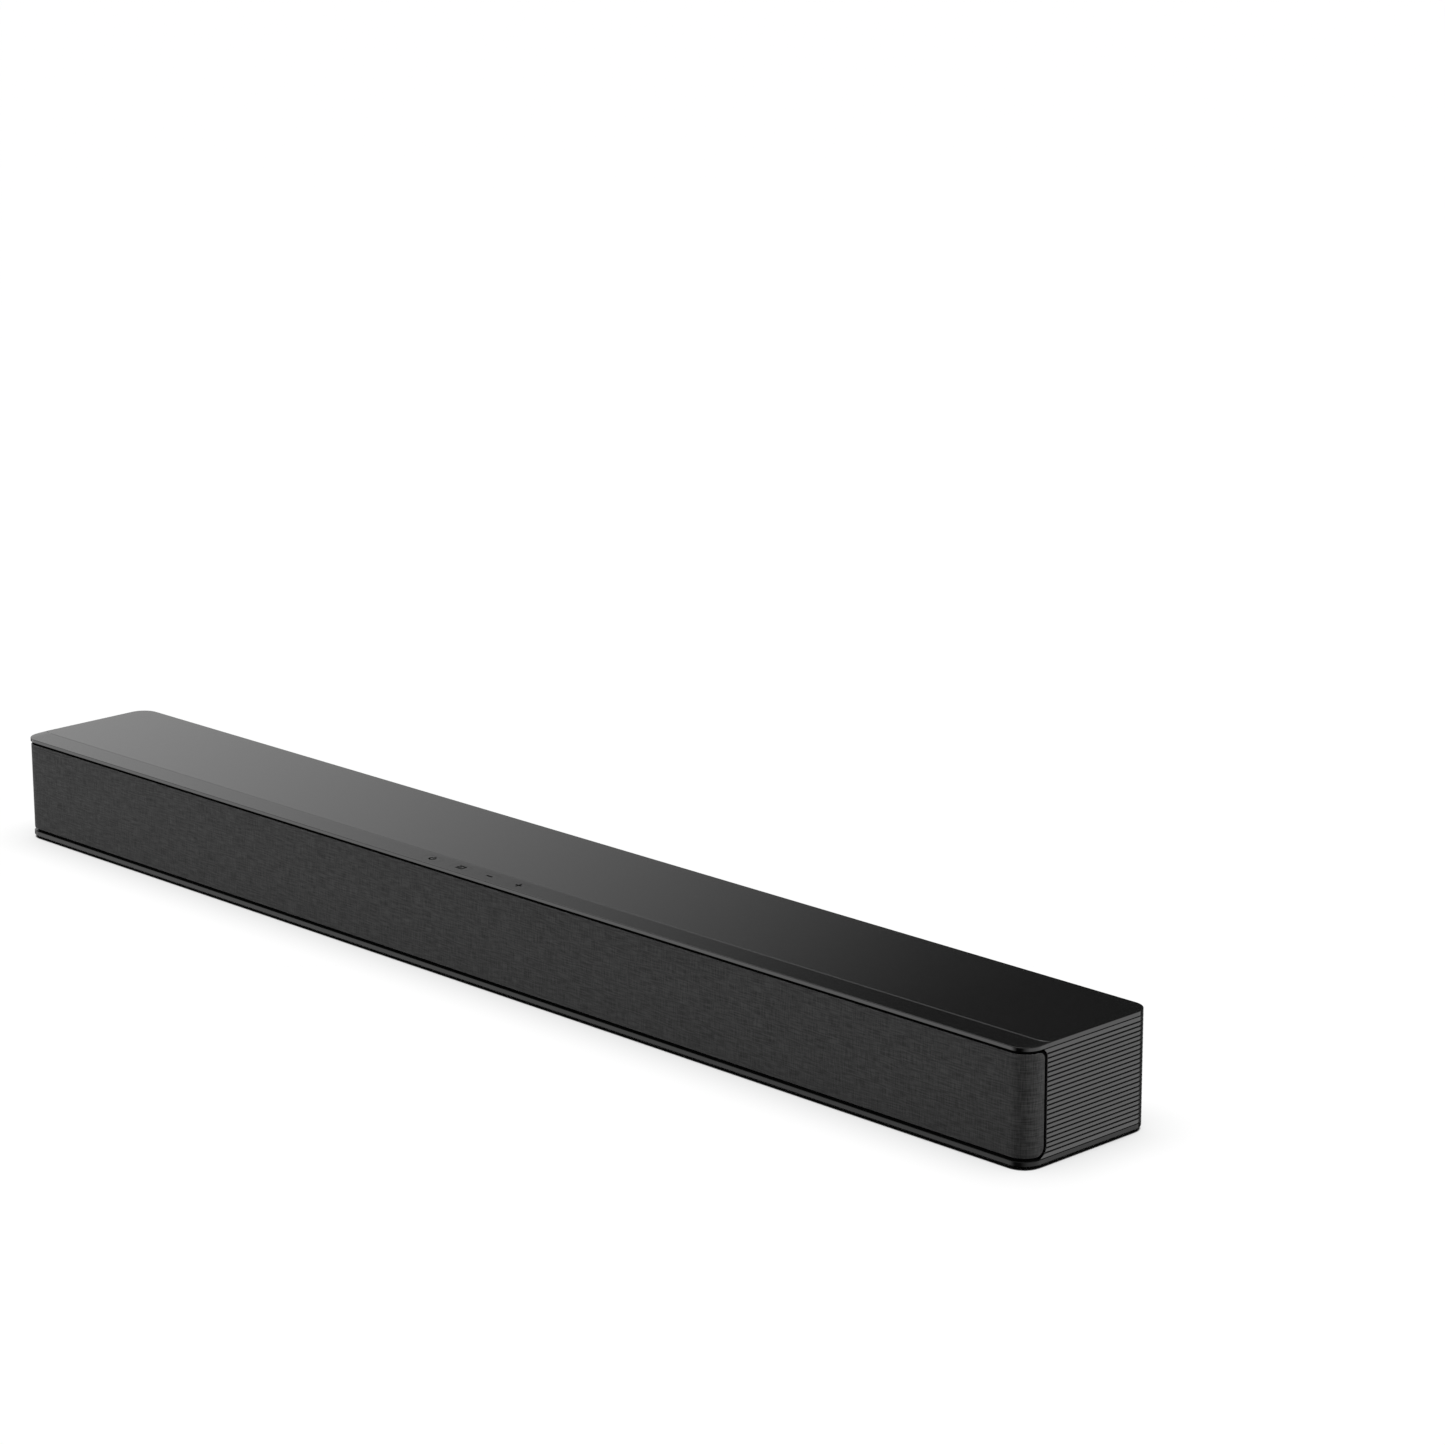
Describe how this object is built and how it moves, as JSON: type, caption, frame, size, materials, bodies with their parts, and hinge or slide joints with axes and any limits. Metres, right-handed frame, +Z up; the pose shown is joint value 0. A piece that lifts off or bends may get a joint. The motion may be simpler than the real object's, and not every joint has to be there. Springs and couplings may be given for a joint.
{
  "type": "soundbar",
  "caption": "Long low soundbar with a cloth grille round its front, ribbed end caps, satin top with control keys, and recessed sockets in the rear panel.",
  "frame": {"origin": "middle of the underside, level with the bottom of the feet", "axes": "+X along the bar to its right end as a listener sees it, -Y towards the listener, +Z up"},
  "size_m": [0.8, 0.09, 0.0615],
  "materials": {
    "satin_cover": "moulded, smooth satin, near-black grey",
    "satin_key": "moulded, smooth satin, the cover's grey, with a dark printed symbol",
    "ribbed_cap": "moulded, satin, with fine level ribs",
    "rear_shell": "moulded, lightly textured matt",
    "inner_plastic": "moulded, matt black",
    "grille_cloth": "fine plain weave, heathered charcoal and black",
    "socket_metal": "plated sheet",
    "socket_plastic": "moulded, black",
    "circuit_board": "green solder mask",
    "bare_aluminium": "extruded, as cut",
    "insulation": "smooth lead insulation",
    "foot_rubber": "matt black rubber",
    "screw_steel": "blackened steel",
    "basket_steel": "pressed and plated",
    "surround_rubber": "matt rubber half roll",
    "cone_paper": "pressed black paper pulp",
    "magnet_ferrite": "bare ferrite"
  },
  "bodies": {
    "chassis": {"aux_jack": "socket_plastic", "bottom_cover": "satin_cover", "bottom_screw_1": "screw_steel", "bottom_screw_2": "screw_steel", "bottom_screw_3": "screw_steel", "bottom_screw_4": "screw_steel", "bottom_screw_5": "screw_steel", "bottom_screw_6": "screw_steel", "connector_bay": "inner_plastic", "front_baffle": "inner_plastic", "front_left_foot": "foot_rubber", "front_right_foot": "foot_rubber", "grille_fabric": "grille_cloth", "grille_frame": "inner_plastic", "hdmi_socket": "socket_metal", "heat_sink": "bare_aluminium", "indicator_board": "circuit_board", "inner_left_basket": "basket_steel", "inner_left_magnet": "magnet_ferrite", "inner_left_surround": "surround_rubber", "inner_right_basket": "basket_steel", "inner_right_magnet": "magnet_ferrite", "inner_right_surround": "surround_rubber", "key_board": "circuit_board", "key_ribbon": "insulation", "left_end_cap": "ribbed_cap", "left_speaker_lead": "insulation", "main_board": "circuit_board", "optical_socket": "socket_plastic", "outer_left_basket": "basket_steel", "outer_left_magnet": "magnet_ferrite", "outer_left_surround": "surround_rubber", "outer_right_basket": "basket_steel", "outer_right_magnet": "magnet_ferrite", "outer_right_surround": "surround_rubber", "power_bay": "inner_plastic", "power_board": "circuit_board", "power_inlet": "socket_plastic", "power_switch": "socket_plastic", "rear_left_foot": "foot_rubber", "rear_panel": "rear_shell", "rear_right_foot": "foot_rubber", "right_end_cap": "ribbed_cap", "right_speaker_lead": "insulation", "source_switch": "socket_plastic", "top_cover": "satin_cover", "usb_socket": "socket_metal", "volume_down_switch": "socket_plastic", "volume_up_switch": "socket_plastic", "wireless_module": "circuit_board"},
    "power_key": {"power_key": "satin_key"},
    "source_key": {"source_key": "satin_key"},
    "volume_down_key": {"volume_down_key": "satin_key"},
    "volume_up_key": {"volume_up_key": "satin_key"},
    "outer_left_cone": {"outer_left_cone": "cone_paper"},
    "inner_left_cone": {"inner_left_cone": "cone_paper"},
    "inner_right_cone": {"inner_right_cone": "cone_paper"},
    "outer_right_cone": {"outer_right_cone": "cone_paper"},
    "optical_flap": {"optical_flap": "socket_plastic"}
  },
  "joints": [
    {"name": "power_key_press", "type": "slide", "parent": "chassis", "child": "power_key", "axis": [0, 0, -1], "range_m": [0, 0.0005], "stiffness_N_per_m": 800},
    {"name": "source_key_press", "type": "slide", "parent": "chassis", "child": "source_key", "axis": [0, 0, -1], "range_m": [0, 0.0005], "stiffness_N_per_m": 800},
    {"name": "volume_down_key_press", "type": "slide", "parent": "chassis", "child": "volume_down_key", "axis": [0, 0, -1], "range_m": [0, 0.0005], "stiffness_N_per_m": 800},
    {"name": "volume_up_key_press", "type": "slide", "parent": "chassis", "child": "volume_up_key", "axis": [0, 0, -1], "range_m": [0, 0.0005], "stiffness_N_per_m": 800},
    {"name": "outer_left_cone_stroke", "type": "slide", "parent": "chassis", "child": "outer_left_cone", "axis": [0, -1, 0], "range_m": [-0.0015, 0.0015], "stiffness_N_per_m": 600},
    {"name": "inner_left_cone_stroke", "type": "slide", "parent": "chassis", "child": "inner_left_cone", "axis": [0, -1, 0], "range_m": [-0.0015, 0.0015], "stiffness_N_per_m": 600},
    {"name": "inner_right_cone_stroke", "type": "slide", "parent": "chassis", "child": "inner_right_cone", "axis": [0, -1, 0], "range_m": [-0.0015, 0.0015], "stiffness_N_per_m": 600},
    {"name": "outer_right_cone_stroke", "type": "slide", "parent": "chassis", "child": "outer_right_cone", "axis": [0, -1, 0], "range_m": [-0.0015, 0.0015], "stiffness_N_per_m": 600},
    {"name": "optical_flap_hinge", "type": "hinge", "parent": "chassis", "child": "optical_flap", "pos_m": [0.008, 0.03345, 0.0284], "axis": [-1, 0, 0], "range_deg": [0, 80], "stiffness_Nm_per_rad": 0.002}
  ]
}
